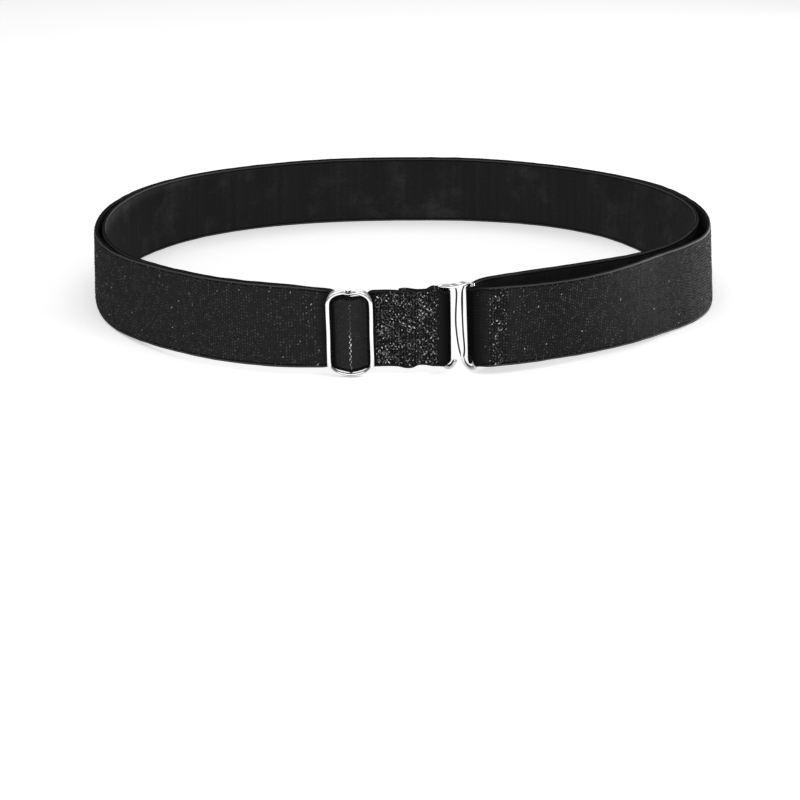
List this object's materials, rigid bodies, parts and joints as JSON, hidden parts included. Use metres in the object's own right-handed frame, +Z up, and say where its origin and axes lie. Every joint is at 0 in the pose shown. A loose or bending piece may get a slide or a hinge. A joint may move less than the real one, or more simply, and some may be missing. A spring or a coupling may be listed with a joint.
{
  "type": "shirt tuck belt",
  "caption": "Elastic belt worn over a tucked-in shirt, run double round the loop, with a wire slider and a flat hook at the front.",
  "frame": {"origin": "middle of the outline on the floor that the belt stands on", "axes": "+Z up across the strap's width, -Y towards the front with the slider and the hook, +X to the right as seen from the front"},
  "size_m": [0.2512, 0.2545, 0.0336],
  "materials": {
    "elastic_strap": "knitted black elastic with a faint glitter on its outer face",
    "slide_adjuster": "polished nickel",
    "hook_clasp": "polished nickel"
  },
  "bodies": {
    "root": {"elastic_strap": "elastic_strap", "slide_adjuster": "slide_adjuster", "hook_clasp": "hook_clasp"}
  },
  "joints": []
}
